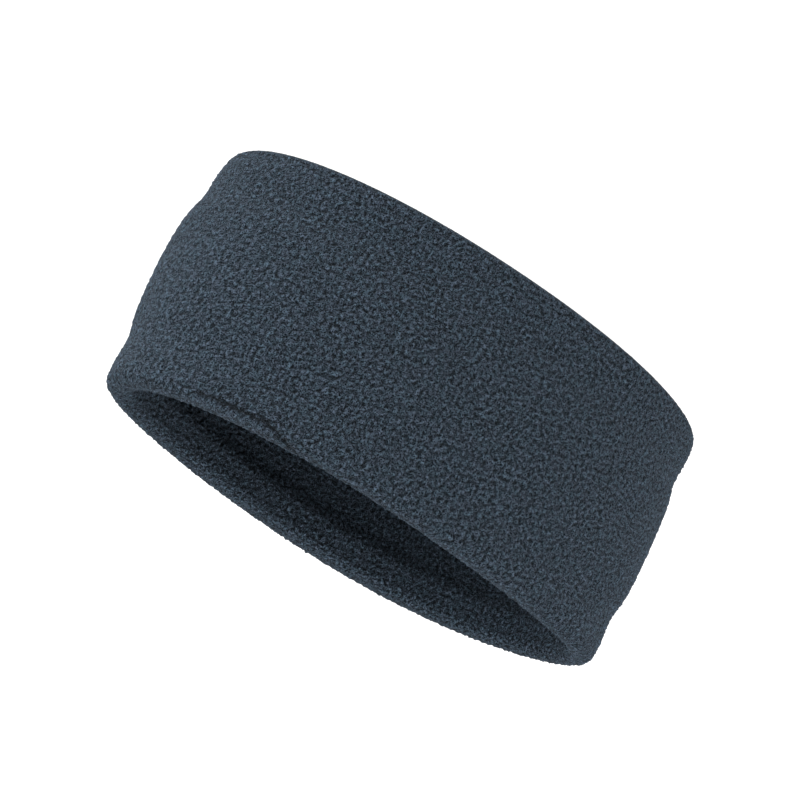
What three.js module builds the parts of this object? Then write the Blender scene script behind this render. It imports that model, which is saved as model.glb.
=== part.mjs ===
// A double-layer fleece headband, standing on its lower rim with its axis upright.
// An outer band and a lining are sewn to each other along both rims, with their seam allowances turned in.
// Units are millimetres and +Z is up. X runs along the band's long side, and the origin is on the floor.

import * as THREE from "three";

// Driving sizes
const BAND_HEIGHT = 100; // from rim to rim, on average round the band
const HALF_LENGTH = 103.9; // of the oval that the rims follow, outside, along X
const HALF_DEPTH = 48.9; // of the same oval, along Y
const BULGE = 4.0; // how far the wall swells past the oval, halfway up
const RIM_SHIFT_X = 3.0; // how far the upper rim stands off the lower one
const RIM_SHIFT_Y = 1.5;
const OVAL_X = -1.2; // the oval's middle, which puts the swollen band's own middle over the origin
const OVAL_Y = -0.1;
const OUTER_PLY = 2.5; // thickness of the outer band
const LINING_PLY = 2.3; // thickness of the lining
const HEM_PLY = 4.4; // of either layer beside a rim, where its seam allowance lies against it
const HEM_DEPTH = 14; // of the seam allowance, from the rim
const HEM_SWELL = 1.2; // how far the hem stands out past the oval
const PLY_GAP = 0.3; // between the two layers
const UPPER_RISE = 3.9; // height of the upper rim's roll over its straight wall
const LOWER_RISE = 2.8; // the same for the lower rim, which is flattened by what it stands on
const LAND_SINK = 0.4; // how much of the lower roll the flattening takes
const LIP_TURN = 325; // degrees round the band, in the middle of where the lining rolls out over the upper rim
const LIP_SPREAD = 34; // degrees to either side of it
const LIP_RAMP = 14; // degrees over which it rolls out, at either end
const GATHER_PLY = 1.5; // how much thicker the lining bunches up under the upper rim at the +X end
const GATHER_SPREAD = 34; // degrees to either side of that end
const OVAL_EXPONENT = 2.09; // 2 is an ellipse, and more is squarer

// The fleece's colours
const SLATE_FLEECE = 0x3c4854;
const SHADED_FLEECE = 0x353f4a;

// Where the seam lies on a rim's roll, in degrees: 0 is the outside face, 90 the crest, 180 the inside
const SEAM_ANGLE = 118;
const LOWER_SEAM_ANGLE = 132;
const LIP_ANGLE = 10;

// How finely the surface is cut
const STATIONS = 84;
const OUTER_ARC_STEPS = 5;
const LINING_ARC_STEPS = { upper: 5, lower: 3 };

// The upper rim's waves: how many run round the band, and their sizes as shares of its height
const RIM_WAVES = [
  { round: 1, cosine: 0.0035, sine: -0.0223 },
  { round: 2, cosine: -0.0084, sine: 0 },
  { round: 3, cosine: 0.0077, sine: -0.0045 },
];

// The wall's soft swellings: waves round the band, half waves up it, and their sizes as shares of the bulge
const SWELLINGS = [
  { round: 1, up: 1, cosine: 0.22, sine: -0.01 },
  { round: 2, up: 1, cosine: 0.195, sine: 0.025 },
  { round: 3, up: 1, cosine: 0.092, sine: 0 },
  { round: 2, up: 2, cosine: 0.084, sine: -0.063 },
  { round: 3, up: 2, cosine: 0.109, sine: 0.038 },
];

// The notch where the hem ends: its depth as a share of the swell, its place and width as shares of HEM_DEPTH
const NOTCH = { depth: 0.83, place: 1.45, width: 0.42 };

// Where a layer thins from the hem's thickness to its own, in shares of the hem's depth
const THINNING = { from: 0.75, to: 1.5 };

// Rows of the faces, as distances from the rim's roll in shares of the hem's depth
const FACE_ROWS = [0, 0.35, 0.65, 0.9, 1.2, 1.7, 2.6];
const GAP_ROWS = [0, 0.55, 0.95, 1.6];

// Rows of the lower roll outside the flat land, as shares of the land's own angle
const LOWER_ARC = [1, 0.7, 0.35];

const radians = THREE.MathUtils.degToRad;
const HEM_WALL = 2 * HEM_PLY + PLY_GAP;
const ROLL_HALF = HEM_WALL / 2;
const LAND_ANGLE = THREE.MathUtils.radToDeg(Math.asin(LOWER_RISE / (LOWER_RISE + LAND_SINK)));
const GAP_ANGLE = THREE.MathUtils.radToDeg(PLY_GAP / 2 / ROLL_HALF);

// A table's waves round the band, added up at an angle
const waveSum = (waves, turn) =>
  waves.reduce((sum, w) => sum + w.cosine * Math.cos(w.round * turn) + w.sine * Math.sin(w.round * turn), 0);

// How many degrees an angle round the band lies from another, either way
const degreesFrom = (turn, other) =>
  Math.abs(THREE.MathUtils.euclideanModulo(THREE.MathUtils.radToDeg(turn) - other + 180, 360) - 180);

// The seam's angle on the upper roll, which drops to the outside face where the lining rolls out
function seamAngleAt(turn) {
  const within = LIP_SPREAD - degreesFrom(turn, LIP_TURN);
  return THREE.MathUtils.lerp(SEAM_ANGLE, LIP_ANGLE, THREE.MathUtils.smoothstep(within, 0, LIP_RAMP));
}

// How much the lining bunches up under the upper rim at an angle round the band
const gatherAt = (turn) => GATHER_PLY * (1 - THREE.MathUtils.smoothstep(degreesFrom(turn, 0), 0, GATHER_SPREAD));

// A slice of the band at an angle round it: where it stands, which way is out, how tall it is, and its seam
function slice(turn) {
  const across = Math.cos(turn);
  const along = Math.sin(turn);
  const power = 2 / OVAL_EXPONENT;
  const foot = new THREE.Vector2(
    HALF_LENGTH * Math.sign(across) * Math.abs(across) ** power,
    HALF_DEPTH * Math.sign(along) * Math.abs(along) ** power,
  );
  const out = new THREE.Vector2(
    (Math.sign(across) * Math.abs(across) ** (2 - power)) / HALF_LENGTH,
    (Math.sign(along) * Math.abs(along) ** (2 - power)) / HALF_DEPTH,
  ).normalize();
  const height = BAND_HEIGHT * (1 + waveSum(RIM_WAVES, turn));
  return { turn, foot, out, height, seam: seamAngleAt(turn), gather: gatherAt(turn) };
}

// A point of a slice, from its distance outside the oval and its height
function place(at, [offset, z]) {
  const lean = z / at.height - 0.5;
  return new THREE.Vector3(
    OVAL_X + at.foot.x + at.out.x * offset + RIM_SHIFT_X * lean,
    OVAL_Y + at.foot.y + at.out.y * offset + RIM_SHIFT_Y * lean,
    z,
  );
}

// How far the outside face stands past the oval
function swellAt(at, z) {
  const share = z / at.height;
  const fromRim = Math.min(z, at.height - z) / HEM_DEPTH;
  const bulge = BULGE * (1 - (2 * share - 1) ** 2);
  const hem = Math.cos((Math.min(fromRim, 1) * Math.PI) / 2);
  const notch = NOTCH.depth * Math.exp(-(((fromRim - NOTCH.place) / NOTCH.width) ** 2));
  const soft = SWELLINGS.map((row) => waveSum([row], at.turn) * Math.sin(row.up * Math.PI * share));
  return bulge + HEM_SWELL * (hem - notch) + BULGE * soft.reduce((sum, part) => sum + part, 0);
}

// The thickness of either layer, which grows to the hem's beside each rim
const thinned = (distance) => THREE.MathUtils.smoothstep(distance / HEM_DEPTH, THINNING.from, THINNING.to);
const outerPlyAt = (at, z) => THREE.MathUtils.lerp(HEM_PLY, OUTER_PLY, thinned(Math.min(z, at.height - z)));
const liningPlyAt = (at, z) =>
  THREE.MathUtils.lerp(HEM_PLY, LINING_PLY, thinned(Math.min(z, at.height - z))) +
  at.gather * (1 - thinned(at.height - z));

// The heights of a face's rows, from the lower roll to the upper one
function rowHeights(at, shares) {
  const low = shares.map((share) => LOWER_RISE + share * HEM_DEPTH);
  const high = shares.map((share) => at.height - UPPER_RISE - share * HEM_DEPTH).reverse();
  return [...low, (low.at(-1) + high[0]) / 2, ...high];
}

// The rows of a face beside the gap, whose top one keeps clear of the other layer where the seam turns out
function gapHeights(at, side) {
  const heights = rowHeights(at, GAP_ROWS);
  return heights.with(-1, heights.at(-1) + side * (PLY_GAP / 2) * Math.cos(radians(at.seam)));
}

// The faces that run up a slice: the outside, the two that face each other across the gap, and the inside
const outsideFace = (at) => rowHeights(at, FACE_ROWS).map((z) => [swellAt(at, z), z]);
const outerBackFace = (at) => gapHeights(at, -1).map((z) => [swellAt(at, z) - outerPlyAt(at, z), z]);
const liningBackFace = (at) => gapHeights(at, 1).map((z) => [swellAt(at, z) - outerPlyAt(at, z) - PLY_GAP, z]);
const insideFace = (at) =>
  rowHeights(at, FACE_ROWS).map((z) => [swellAt(at, z) - outerPlyAt(at, z) - PLY_GAP - liningPlyAt(at, z), z]);

// A point on the upper roll, and one on the lower roll, which is flat where it rests
function upperRoll(at, angle) {
  const base = at.height - UPPER_RISE;
  const half = ROLL_HALF + at.gather / 2;
  const centre = swellAt(at, base) - half;
  return [centre + half * Math.cos(radians(angle)), base + UPPER_RISE * Math.sin(radians(angle))];
}

function lowerRoll(at, angle) {
  const centre = swellAt(at, LOWER_RISE) - ROLL_HALF;
  const drop = (LOWER_RISE + LAND_SINK) * Math.sin(radians(angle));
  return [centre + ROLL_HALF * Math.cos(radians(angle)), Math.max(0, LOWER_RISE - drop)];
}

// Angles in even steps from one to another, without the first
const anglesBetween = (from, to, steps) =>
  Array.from({ length: steps }, (_, k) => THREE.MathUtils.lerp(from, to, (k + 1) / steps));

// The outer band's closed section: under the lower rim, up the outside, over the upper rim and down the gap
function outerSection(at) {
  const underLand = LOWER_ARC.map((share) => share * LAND_ANGLE);
  const lower = [LOWER_SEAM_ANGLE - GAP_ANGLE, 180 - LAND_ANGLE, ...underLand];
  const upper = anglesBetween(0, at.seam - GAP_ANGLE, OUTER_ARC_STEPS);
  return [
    ...lower.map((angle) => lowerRoll(at, angle)),
    ...outsideFace(at),
    ...upper.map((angle) => upperRoll(at, angle)),
    ...outerBackFace(at).reverse(),
  ];
}

// The lining's closed section: up the gap, over the upper rim, down the inside and under the lower rim
function liningSection(at) {
  const upper = anglesBetween(180, at.seam + GAP_ANGLE, LINING_ARC_STEPS.upper).reverse();
  const lower = anglesBetween(180, LOWER_SEAM_ANGLE + GAP_ANGLE, LINING_ARC_STEPS.lower);
  return [
    ...liningBackFace(at),
    ...upper.map((angle) => upperRoll(at, angle)),
    ...insideFace(at).reverse(),
    ...lower.map((angle) => lowerRoll(at, angle)),
  ];
}

// A closed ring through one section per station. Two rings that face each other across a gap list it in
// opposite directions, so one of them cuts its quads along the other diagonal
function ringGeometry(sectionAt, otherDiagonal) {
  const slices = Array.from({ length: STATIONS }, (_, k) => slice((k / STATIONS) * 2 * Math.PI));
  const rings = slices.map((at) => sectionAt(at).map((point) => place(at, point)));
  const count = rings[0].length;
  const faces = [];
  for (let k = 0; k < STATIONS; k += 1) {
    const next = ((k + 1) % STATIONS) * count;
    const here = k * count;
    for (let j = 0; j < count; j += 1) {
      const up = (j + 1) % count;
      faces.push(here + j, next + j, otherDiagonal ? here + up : next + up);
      faces.push(otherDiagonal ? next + j : here + j, next + up, here + up);
    }
  }
  const geometry = new THREE.BufferGeometry().setFromPoints(rings.flat());
  geometry.setIndex(faces);
  geometry.computeVertexNormals();
  return geometry;
}

function namedMesh(name, sectionAt, otherDiagonal, color) {
  const material = new THREE.MeshStandardMaterial({ color, roughness: 1, metalness: 0 });
  const mesh = new THREE.Mesh(ringGeometry(sectionAt, otherDiagonal), material);
  mesh.name = name;
  return mesh;
}

const headband = new THREE.Group();
headband.add(namedMesh("outer_band", outerSection, false, SLATE_FLEECE));
headband.add(namedMesh("lining", liningSection, true, SHADED_FLEECE));

export default headband;
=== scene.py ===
"""A double-layer fleece headband standing on its lower rim, dressed from its CAD frame. Metres, +Z up."""
import math

import bpy
import numpy as np
from mathutils import Matrix, Vector, noise


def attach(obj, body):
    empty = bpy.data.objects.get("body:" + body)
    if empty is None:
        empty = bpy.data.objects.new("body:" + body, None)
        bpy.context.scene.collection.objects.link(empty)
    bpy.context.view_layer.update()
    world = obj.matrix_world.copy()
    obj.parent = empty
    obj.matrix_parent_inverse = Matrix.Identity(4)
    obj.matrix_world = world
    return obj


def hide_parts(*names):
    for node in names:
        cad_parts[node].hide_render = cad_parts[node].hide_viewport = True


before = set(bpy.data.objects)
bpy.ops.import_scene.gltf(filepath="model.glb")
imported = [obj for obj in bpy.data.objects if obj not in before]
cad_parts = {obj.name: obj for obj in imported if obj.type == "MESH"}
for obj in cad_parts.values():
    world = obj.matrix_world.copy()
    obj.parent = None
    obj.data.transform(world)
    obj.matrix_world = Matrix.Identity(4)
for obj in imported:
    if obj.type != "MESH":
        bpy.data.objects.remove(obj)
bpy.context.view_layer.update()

MM = 0.001

# The band's form, the same sizes as the solids have
BAND_HEIGHT = 100 * MM  # from rim to rim, on average round the band
HALF_LENGTH = 103.9 * MM  # of the oval that the rims follow, outside, along X
HALF_DEPTH = 48.9 * MM  # of the same oval, along Y
OVAL_EXPONENT = 2.09  # 2 is an ellipse, and more is squarer
OVAL_X = -1.2 * MM  # the oval's middle
OVAL_Y = -0.1 * MM
RIM_SHIFT_X = 3.0 * MM  # how far the upper rim stands off the lower one
RIM_SHIFT_Y = 1.5 * MM
BULGE = 4.0 * MM  # how far the wall swells past the oval, halfway up
OUTER_PLY = 2.5 * MM  # thickness of the outer band
LINING_PLY = 2.3 * MM  # thickness of the lining
HEM_PLY = 4.4 * MM  # of either layer beside a rim, where its seam allowance lies against it
HEM_DEPTH = 14 * MM  # of the seam allowance, from the rim
HEM_SWELL = 1.2 * MM  # how far the hem stands out past the oval
PLY_GAP = 0.3 * MM  # between the two layers
UPPER_RISE = 3.9 * MM  # height of the upper rim's roll over its straight wall
LOWER_RISE = 2.8 * MM  # the same for the lower rim, which is flattened by what it stands on
LAND_SINK = 0.4 * MM  # how much of the lower roll the flattening takes
GATHER_PLY = 1.5 * MM  # how much thicker the lining bunches up under the upper rim at the +X end
GATHER_SPREAD = 34  # degrees to either side of that end

# The lip, in degrees round the band: its middle, how far it reaches either way, and how fast it rolls out
LIP_TURN = 325
LIP_SPREAD = 34
LIP_RAMP = 14

# Where the seam lies on a rim's roll, in degrees: 0 is the outside face, 90 the crest, 180 the inside
SEAM_ANGLE = 118
LOWER_SEAM_ANGLE = 132
LIP_ANGLE = 10
INSIDE_ANGLE = 180

# The upper rim's waves: how many run round the band, and their sizes as shares of its height
RIM_WAVES = [
    {"round": 1, "cosine": 0.0035, "sine": -0.0223},
    {"round": 2, "cosine": -0.0084, "sine": 0},
    {"round": 3, "cosine": 0.0077, "sine": -0.0045},
]

# The wall's soft swellings: waves round the band, half waves up it, and their sizes as shares of the bulge
SWELLINGS = [
    {"round": 1, "up": 1, "cosine": 0.22, "sine": -0.01},
    {"round": 2, "up": 1, "cosine": 0.195, "sine": 0.025},
    {"round": 3, "up": 1, "cosine": 0.092, "sine": 0},
    {"round": 2, "up": 2, "cosine": 0.084, "sine": -0.063},
    {"round": 3, "up": 2, "cosine": 0.109, "sine": 0.038},
]

# The notch where the hem ends: depth as a share of the swell, place and width as shares of the hem's depth
NOTCH = {"depth": 0.83, "place": 1.45, "width": 0.42}

# Where a layer thins from the hem's thickness to its own, in shares of the hem's depth
THINNING = {"from": 0.75, "to": 1.5}

# The seam in the cloth: the pile of the two layers nearly meets there
SEAM_GAP = 0.03 * MM

# The crease in the pile where the lip ends: its spread is in degrees to either side of that place
CREASE_DEPTH = 1.2 * MM
CREASE_WIDTH = 0.9 * MM
CREASE_SPREAD = {"from": 8, "to": 38}
CREASE_SHADE = 0.4  # painted shade in a crease: how much it darkens the pile's colour, as a share of the crease's depth

# How finely the cloth is cut: columns round the band, and rows up a face that shows
COLUMNS = {"outer": 960, "lining": 860}
FACE_ROWS = {"outer": 160, "lining": 150}
RIM_ROWS = 16
HIDDEN_ROWS = 9
OVAL_STEPS = 20000

# The pile's lumps, from coarse to fine: the noise's cell and how high it rises
PILE_LUMPS = [
    {"size": 1.1 * MM, "height": 0.46 * MM},
    {"size": 0.78 * MM, "height": 0.48 * MM},
]
LUMP_OFFSET = 7.3  # how far apart in the noise the sizes of lump are read
PILE_LIFT = 0.2 * MM  # how far the pile stands out on average
PILE_SEED = 11.0
EVENING_STEPS = 3  # how many steps either way the pile is evened over

# The fleece's grain, finer than its lumps, and its two tints
GRAIN_SIZE = 0.5 * MM
GRAIN_DETAIL = 2.0
TINT_SIZE = 2.2 * MM
BUMP_DEPTH = 0.4 * MM

# How far to either side of its middle each goes from pit to tip, and the share of the tips' light left in a pit
NOISE_MIDDLE = 0.5
GRAIN_SPAN = 0.1
PILE_SPAN = 0.26
TINT_SPAN = 0.15
PIT_SHARE = 0.03

# The fleece's colours, the near black in its pits being painted shade, and how it takes light
PAINTED_PIT_SHADE = (0.001, 0.002, 0.003)
COOL_TIPS = (0.079, 0.124, 0.170)
WARM_TIPS = (0.088, 0.121, 0.170)
FLEECE_SHADING = {
    "Roughness": 1.0,
    "Specular IOR Level": 0.1,
    "Sheen Weight": 0.11,
    "Sheen Roughness": 0.5,
    "Sheen Tint": (0.62, 0.74, 0.88, 1),
}

# The camera: where it stands round the band, how it is rolled, and where the band lies in the frame
CAMERA_AZIMUTH = 20.45
CAMERA_ELEVATION = 21.47
CAMERA_ROLL = 154.61
CAMERA_DISTANCE = 1.0847
PIXELS_PER_MM = 2.717
IMAGE_SIDE = 800
BAND_CENTRE_PX = (409.8, 416.5)
SENSOR = 36.0

# The floor: it glows softly outside the band, and inside it is plain and darker, a painted shadow
FLOOR_SIDE = 6.0
FLOOR_GLOW = 1.0
FLOOR_TONE = 0.3
FLOOR_ROUGHNESS = 0.9
SHADED_TONE = 0.15
FLOOR_STEPS = 96

# The studio's softboxes: how long their sides are, and where each stands and its power
SOFTBOX_SIDE = 0.7
LIGHTS = [
    {"name": "left_softbox", "place": (1.25, -0.2, 0.25), "watts": 11.4},
    {"name": "front_softbox", "place": (0.8, -0.9, 0.2), "watts": 6.8},
    {"name": "high_left_softbox", "place": (0.9, -0.3, 0.85), "watts": 9.8},
    {"name": "high_right_softbox", "place": (-0.9, -0.3, 0.85), "watts": 18.6},
    {"name": "top_softbox", "place": (0.1, 0.15, 1.3), "watts": 2.0},
]
AMBIENT = 0.02

HEM_WALL = 2 * HEM_PLY + PLY_GAP
ROLL_HALF = HEM_WALL / 2
GAP_ANGLE = math.degrees(SEAM_GAP / 2 / ROLL_HALF)
LIP_END = LIP_TURN - LIP_SPREAD + LIP_RAMP / 2


def oval(turn):
    power = 2 / OVAL_EXPONENT
    across, along = np.cos(turn), np.sin(turn)
    x = HALF_LENGTH * np.sign(across) * np.abs(across) ** power
    y = HALF_DEPTH * np.sign(along) * np.abs(along) ** power
    return x, y


def oval_normal(turn):
    power = 2 - 2 / OVAL_EXPONENT
    across, along = np.cos(turn), np.sin(turn)
    x = np.sign(across) * np.abs(across) ** power / HALF_LENGTH
    y = np.sign(along) * np.abs(along) ** power / HALF_DEPTH
    size = np.hypot(x, y)
    return x / size, y / size


def even_turns(count):
    """Angles round the band that lie evenly along the oval."""
    fine = np.linspace(0, 2 * math.pi, OVAL_STEPS + 1)
    x, y = oval(fine)
    length = np.concatenate([[0], np.cumsum(np.hypot(np.diff(x), np.diff(y)))])
    return np.interp(np.arange(count) / count * length[-1], length, fine)


def smoothstep(value, low, high):
    share = np.clip((value - low) / (high - low), 0, 1)
    return share * share * (3 - 2 * share)


def wave(row, turn):
    return row["cosine"] * np.cos(row["round"] * turn) + row["sine"] * np.sin(row["round"] * turn)


def height_at(turn):
    return BAND_HEIGHT * (1 + sum(wave(row, turn) for row in RIM_WAVES))


def degrees_from(turn, other):
    """How many degrees an angle round the band lies from another, either way."""
    return np.abs((np.degrees(turn) - other + 180) % 360 - 180)


def lip_share(turn):
    return smoothstep(LIP_SPREAD - degrees_from(turn, LIP_TURN), 0, LIP_RAMP)


def seam_at(turn):
    """The seam's angle on the upper roll, which drops to the outside face where the lining rolls out."""
    return SEAM_ANGLE + (LIP_ANGLE - SEAM_ANGLE) * lip_share(turn)


def crease_at(turn, from_seam):
    """How deep the crease is, most where the lip ends and gone some way to either side."""
    away = degrees_from(turn, LIP_END)
    depth = CREASE_DEPTH * (1 - smoothstep(away, CREASE_SPREAD["from"], CREASE_SPREAD["to"]))
    return depth * np.exp(-((from_seam / CREASE_WIDTH) ** 2))


def gather_at(turn):
    """How much the lining bunches up under the upper rim at the +X end."""
    return GATHER_PLY * (1 - smoothstep(degrees_from(turn, 0), 0, GATHER_SPREAD))


def swell_at(turn, z, height):
    """How far the outside face stands past the oval."""
    share = z / height
    near = np.minimum(z, height - z) / HEM_DEPTH
    bulge = BULGE * (1 - (2 * share - 1) ** 2)
    hem = np.cos(np.minimum(near, 1) * math.pi / 2)
    notch = NOTCH["depth"] * np.exp(-(((near - NOTCH["place"]) / NOTCH["width"]) ** 2))
    soft = sum(wave(row, turn) * np.sin(row["up"] * math.pi * share) for row in SWELLINGS)
    return bulge + HEM_SWELL * (hem - notch) + BULGE * soft


def thinned(distance):
    """How far a layer has thinned to its own thickness, at a distance from the rim."""
    return smoothstep(distance / HEM_DEPTH, THINNING["from"], THINNING["to"])


def outer_ply(z, height):
    return HEM_PLY + (OUTER_PLY - HEM_PLY) * thinned(np.minimum(z, height - z))


def lining_ply(turn, z, height):
    hem = HEM_PLY + (LINING_PLY - HEM_PLY) * thinned(np.minimum(z, height - z))
    return hem + gather_at(turn) * (1 - thinned(height - z))


def roll_half(turn):
    """Half the upper roll's thickness, which grows where the lining is gathered."""
    return ROLL_HALF + gather_at(turn) / 2


def upper_roll(turn, height, angle):
    """A row on the upper rim's roll, as (offset, height, crease), like the other rows."""
    base = height - UPPER_RISE
    half = roll_half(turn)
    centre = swell_at(turn, base, height) - half
    sink = crease_at(turn, np.radians(angle - seam_at(turn)) * half)
    offset = centre + (half - sink) * np.cos(np.radians(angle))
    return offset, base + (UPPER_RISE - sink) * np.sin(np.radians(angle)), sink


def lower_roll(turn, height, angle):
    centre = swell_at(turn, np.full_like(turn, LOWER_RISE), height) - ROLL_HALF
    offset = centre + ROLL_HALF * np.cos(np.radians(angle))
    drop = (LOWER_RISE + LAND_SINK) * np.sin(np.radians(angle))
    return offset, np.maximum(0, LOWER_RISE - drop) + 0 * turn, 0 * turn


def outside_face(turn, height, z):
    below = np.radians(seam_at(turn)) * roll_half(turn) + height - UPPER_RISE - z
    sink = crease_at(turn, below)
    return swell_at(turn, z, height) - sink, z, sink


def face_heights(height, rows):
    low, high = LOWER_RISE, height - UPPER_RISE
    return [low + (high - low) * share for share in np.linspace(0, 1, rows)]


def gap_heights(height, seam, side):
    """Heights beside the gap, whose top one keeps clear of the other layer where the seam turns out."""
    heights = face_heights(height, HIDDEN_ROWS)
    heights[-1] = heights[-1] + side * PLY_GAP / 2 * np.cos(np.radians(seam))
    return heights


def outer_rows(turn):
    """Rows round the outer band's section, as (offset, height, crease), and how many of them show."""
    height, seam = height_at(turn), seam_at(turn)
    under = np.linspace(LOWER_SEAM_ANGLE - GAP_ANGLE, 0, RIM_ROWS)
    rows = [lower_roll(turn, height, angle) for angle in under]
    rows += [outside_face(turn, height, z) for z in face_heights(height, FACE_ROWS["outer"])[1:-1]]
    rows += [upper_roll(turn, height, share * (seam - GAP_ANGLE)) for share in np.linspace(0, 1, RIM_ROWS)]
    showing = len(rows)
    for z in gap_heights(height, seam, -1)[::-1]:
        rows.append((swell_at(turn, z, height) - outer_ply(z, height), z, 0 * turn))
    return rows, showing


def lining_rows(turn):
    """The same for the lining: over the upper rim, down the inside, under the lower rim and up the gap."""
    height, seam = height_at(turn), seam_at(turn)
    start = seam + GAP_ANGLE
    over = [start + (INSIDE_ANGLE - start) * share for share in np.linspace(0, 1, RIM_ROWS)]
    under = np.linspace(INSIDE_ANGLE, LOWER_SEAM_ANGLE + GAP_ANGLE, RIM_ROWS // 2)
    rows = [upper_roll(turn, height, angle) for angle in over]
    for z in face_heights(height, FACE_ROWS["lining"])[::-1][1:-1]:
        inside = swell_at(turn, z, height) - outer_ply(z, height) - PLY_GAP - lining_ply(turn, z, height)
        rows.append((inside, z, 0 * turn))
    rows += [lower_roll(turn, height, angle) for angle in under]
    showing = len(rows)
    for z in gap_heights(height, seam, 1):
        rows.append((swell_at(turn, z, height) - outer_ply(z, height) - PLY_GAP, z, 0 * turn))
    return rows, showing


def ring_points(rows, turn):
    """The points of a closed ring, as rows by columns by XYZ."""
    x, y = oval(turn)
    out_x, out_y = oval_normal(turn)
    height = height_at(turn)
    points = []
    for offset, z, _crease in rows:
        lean = z / height - 0.5
        across = OVAL_X + x + out_x * offset + RIM_SHIFT_X * lean
        along = OVAL_Y + y + out_y * offset + RIM_SHIFT_Y * lean
        points.append(np.stack([across, along, z], 1))
    return np.stack(points)


def ring_normals(points, showing):
    """Outward normals from each point's neighbours; a seam's edge looks only at the side that shows."""
    along = np.roll(points, -1, 1) - np.roll(points, 1, 1)
    across = np.roll(points, -1, 0) - np.roll(points, 1, 0)
    across[0] = points[1] - points[0]
    across[showing - 1] = points[showing - 1] - points[showing - 2]
    normals = np.cross(along, across)
    return normals / np.linalg.norm(normals, axis=2, keepdims=True)


def pile_height(point):
    """The lumps' height at a point, from signed noise of a few sizes."""
    total = 0.0
    for k, lump in enumerate(PILE_LUMPS):
        offset = Vector((PILE_SEED, LUMP_OFFSET * k, 0))
        total += lump["height"] * noise.noise(point / lump["size"] + offset)
    return total


def pile_field(points):
    """The lumps' height at every point, less its mean close by, so that no broad patches stay."""
    values = [pile_height(Vector(p)) for p in points.reshape(-1, 3)]
    field = np.array(values).reshape(points.shape[:2])
    steps = range(-EVENING_STEPS, EVENING_STEPS + 1)
    along = sum(np.roll(field, step, 1) for step in steps) / len(steps)
    return field - sum(np.roll(along, step, 0) for step in steps) / len(steps)


def napped_ring(rows, showing, turn):
    """A ring's points with the pile raised on the rows that show, their normals, and the pile's height less the
    crease's painted shade.
    """
    points = ring_points(rows, turn)
    field = np.zeros(points.shape[:2])
    field[:showing] = pile_field(points[:showing])
    lift = (field + PILE_LIFT) * np.clip(points[..., 2] / LOWER_RISE, 0, 1)
    lift[showing:] = 0
    points = points + ring_normals(points, showing) * lift[..., None]
    points[..., 2] = np.maximum(points[..., 2], 0)
    creases = np.stack([row[2] for row in rows])
    # The crease's painted shade is taken off the pile's height that the colour follows
    return points, ring_normals(points, showing), field - CREASE_SHADE * creases


def half_piece(name, points, normals, field, columns):
    """One piece of the ring, from one column to another."""
    count_rows, count_columns = points.shape[0], len(columns)
    index = np.arange(count_rows * count_columns).reshape(count_rows, count_columns)
    up = np.roll(index, -1, 0)
    faces = np.stack([index[:, :-1], index[:, 1:], up[:, 1:], up[:, :-1]], 2).reshape(-1, 4)
    mesh = bpy.data.meshes.new(name)
    mesh.from_pydata(points[:, columns].reshape(-1, 3).tolist(), [], faces.tolist())
    mesh.polygons.foreach_set("use_smooth", np.ones(len(mesh.polygons), bool))
    mesh.normals_split_custom_set_from_vertices(normals[:, columns].reshape(-1, 3).tolist())
    # The pile's height, less the crease's painted shade, by which the material darkens the colour
    tone = mesh.attributes.new("pile", "FLOAT", "POINT")
    tone.data.foreach_set("value", (field[:, columns] / MM).reshape(-1).astype(np.float32))
    piece = bpy.data.objects.new(name, mesh)
    bpy.context.scene.collection.objects.link(piece)
    return piece


def make_cloth(names, rows_of, columns):
    """The front and back halves of a layer, which meet at the band's two ends."""
    turn = even_turns(columns)
    points, normals, field = napped_ring(*rows_of(turn), turn)
    middle = columns // 2
    spans = (np.arange(0, middle + 1), np.append(np.arange(middle, columns), 0))
    return [half_piece(name, points, normals, field, span) for name, span in zip(names, spans)]


class Tree:
    """A material's nodes, made and wired by short calls."""

    def __init__(self, material):
        self.nodes, self.links = material.node_tree.nodes, material.node_tree.links

    def node(self, kind, inputs=None, **settings):
        made = self.nodes.new(kind)
        for key, value in settings.items():
            setattr(made, key, value)
        for key, value in (inputs or {}).items():
            if isinstance(value, bpy.types.NodeSocket):
                self.links.new(value, made.inputs[key])
            else:
                made.inputs[key].default_value = value
        return made

    def multiply(self, a, b):
        return self.node("ShaderNodeMath", {0: a, 1: b}, operation="MULTIPLY").outputs[0]

    def mix(self, factor, a, b):
        made = self.nodes.new("ShaderNodeMix")
        made.data_type = "RGBA"
        for socket, value in ((made.inputs[0], factor), (made.inputs[6], a), (made.inputs[7], b)):
            if isinstance(value, bpy.types.NodeSocket):
                self.links.new(value, socket)
            else:
                socket.default_value = value
        return made.outputs[2]

    def noise(self, vector, size, detail=0.0):
        inputs = {"Vector": vector, "Scale": 1 / size, "Detail": detail}
        return self.node("ShaderNodeTexNoise", inputs).outputs["Fac"]

    def ramp(self, value, middle, span, low):
        """A value that goes from low to one over a span to either side of its middle."""
        inputs = {"Value": value, "From Min": middle - span, "From Max": middle + span, "To Min": low}
        return self.node("ShaderNodeMapRange", inputs).outputs["Result"]


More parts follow.
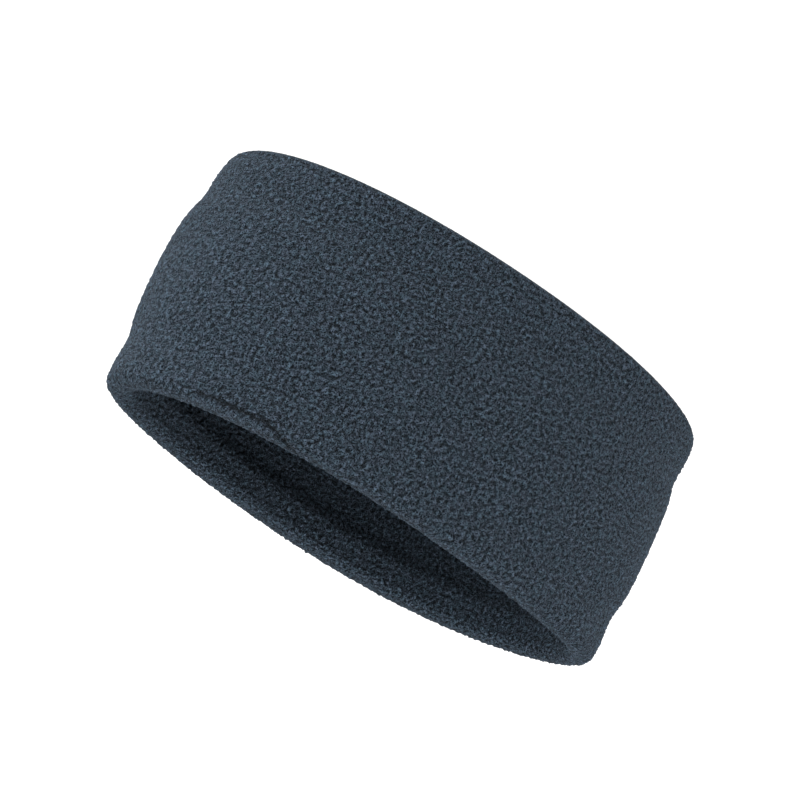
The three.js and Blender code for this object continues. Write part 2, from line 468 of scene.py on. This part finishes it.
def fleece_material(name):
    """Pale tips of two tints, with painted shade in the pits between them, after the pile's own height and a
    finer grain.
    """
    material = bpy.data.materials.new(name)
    material.use_nodes = True
    tree = Tree(material)
    shader = tree.nodes["Principled BSDF"]
    for socket, value in FLEECE_SHADING.items():
        shader.inputs[socket].default_value = value
    place = tree.node("ShaderNodeTexCoord").outputs["Object"]
    # Painted shade: the colour darkens towards near black where the pile's height and the grain are low, in its
    # pits and creases
    height = tree.node("ShaderNodeAttribute", attribute_name="pile").outputs["Fac"]
    pile = tree.ramp(height, 0, PILE_SPAN, PIT_SHARE)
    grain = tree.ramp(tree.noise(place, GRAIN_SIZE, GRAIN_DETAIL), NOISE_MIDDLE, GRAIN_SPAN, PIT_SHARE)
    tint = tree.ramp(tree.noise(place, TINT_SIZE), NOISE_MIDDLE, TINT_SPAN, 0)
    tips = tree.mix(tint, (*COOL_TIPS, 1), (*WARM_TIPS, 1))
    colour = tree.mix(tree.multiply(pile, grain), (*PAINTED_PIT_SHADE, 1), tips)
    tree.links.new(colour, shader.inputs["Base Color"])
    bump = tree.node("ShaderNodeBump", {"Height": grain, "Strength": 1.0, "Distance": BUMP_DEPTH})
    tree.links.new(bump.outputs["Normal"], shader.inputs["Normal"])
    return material


def make_camera():
    azimuth, elevation = math.radians(CAMERA_AZIMUTH), math.radians(CAMERA_ELEVATION)
    level = math.cos(elevation)
    back = Vector((math.sin(azimuth) * level, -math.cos(azimuth) * level, math.sin(elevation)))
    centre = Vector((OVAL_X, OVAL_Y, BAND_HEIGHT / 2))
    data = bpy.data.cameras.new("camera")
    data.sensor_width = SENSOR
    data.lens = SENSOR * PIXELS_PER_MM * CAMERA_DISTANCE / MM / IMAGE_SIDE
    data.shift_x = -(BAND_CENTRE_PX[0] - IMAGE_SIDE / 2) / IMAGE_SIDE
    data.shift_y = (BAND_CENTRE_PX[1] - IMAGE_SIDE / 2) / IMAGE_SIDE
    camera = bpy.data.objects.new("camera", data)
    turn = (-back).to_track_quat("-Z", "Y").to_matrix().to_4x4()
    roll = Matrix.Rotation(-math.radians(CAMERA_ROLL), 4, "Z")
    camera.matrix_world = Matrix.Translation(centre + back * CAMERA_DISTANCE) @ turn @ roll
    bpy.context.scene.collection.objects.link(camera)
    bpy.context.scene.camera = camera


def floor_material(name, tone, glow):
    material = bpy.data.materials.new(name)
    material.use_nodes = True
    shader = material.node_tree.nodes["Principled BSDF"]
    shader.inputs["Base Color"].default_value = (tone, tone, tone, 1)
    shader.inputs["Roughness"].default_value = FLOOR_ROUGHNESS
    shader.inputs["Emission Color"].default_value = (1, 1, 1, 1)
    shader.inputs["Emission Strength"].default_value = glow
    return material


def make_floor():
    """A flat floor: one face in the band's hollow, darker as a painted shadow, and a ring of faces from there
    out to its edge.
    """
    turn = even_turns(FLOOR_STEPS)
    inner = ring_points([(-ROLL_HALF, 0 * turn, 0 * turn)], turn)[0].tolist()
    outer = [(FLOOR_SIDE * math.cos(t), FLOOR_SIDE * math.sin(t), 0) for t in turn]
    faces = [tuple(range(FLOOR_STEPS))]
    for k in range(FLOOR_STEPS):
        after = (k + 1) % FLOOR_STEPS
        faces.append((k, FLOOR_STEPS + k, FLOOR_STEPS + after, after))
    mesh = bpy.data.meshes.new("floor")
    mesh.from_pydata(inner + outer, [], faces)
    mesh.materials.append(floor_material("pale_floor", FLOOR_TONE, FLOOR_GLOW))
    mesh.materials.append(floor_material("shaded_floor", SHADED_TONE, 0))
    mesh.polygons[0].material_index = 1
    floor = bpy.data.objects.new("floor", mesh)
    bpy.context.scene.collection.objects.link(floor)


def softbox(name, place, watts):
    data = bpy.data.lights.new(name, "AREA")
    data.size = SOFTBOX_SIDE
    data.energy = watts
    lamp = bpy.data.objects.new(name, data)
    lamp.location = place
    aim = Vector((0, 0, BAND_HEIGHT / 2)) - Vector(place)
    lamp.rotation_euler = aim.to_track_quat("-Z", "Y").to_euler()
    bpy.context.scene.collection.objects.link(lamp)


def make_light():
    world = bpy.data.worlds.new("studio")
    bpy.context.scene.world = world
    world.use_nodes = True
    world.node_tree.nodes["Background"].inputs["Color"].default_value = (1, 1, 1, 1)
    world.node_tree.nodes["Background"].inputs["Strength"].default_value = AMBIENT
    for light in LIGHTS:
        softbox(light["name"], light["place"], light["watts"])
    bpy.context.scene.view_settings.view_transform = "Standard"


LAYERS = [
    {
        "node": "outer_band",
        "names": ("outer_fleece_back", "outer_fleece_front"),
        "rows": outer_rows,
        "columns": COLUMNS["outer"],
        "slot": "outer_fleece",
    },
    {
        "node": "lining",
        "names": ("lining_fleece_back", "lining_fleece_front"),
        "rows": lining_rows,
        "columns": COLUMNS["lining"],
        "slot": "lining_fleece",
    },
]

make_camera()
make_floor()
make_light()

for layer in LAYERS:
    material = fleece_material(layer["slot"])
    for piece in make_cloth(layer["names"], layer["rows"], layer["columns"]):
        piece.data.materials.append(material)
        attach(piece, "root")
        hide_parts(layer["node"])
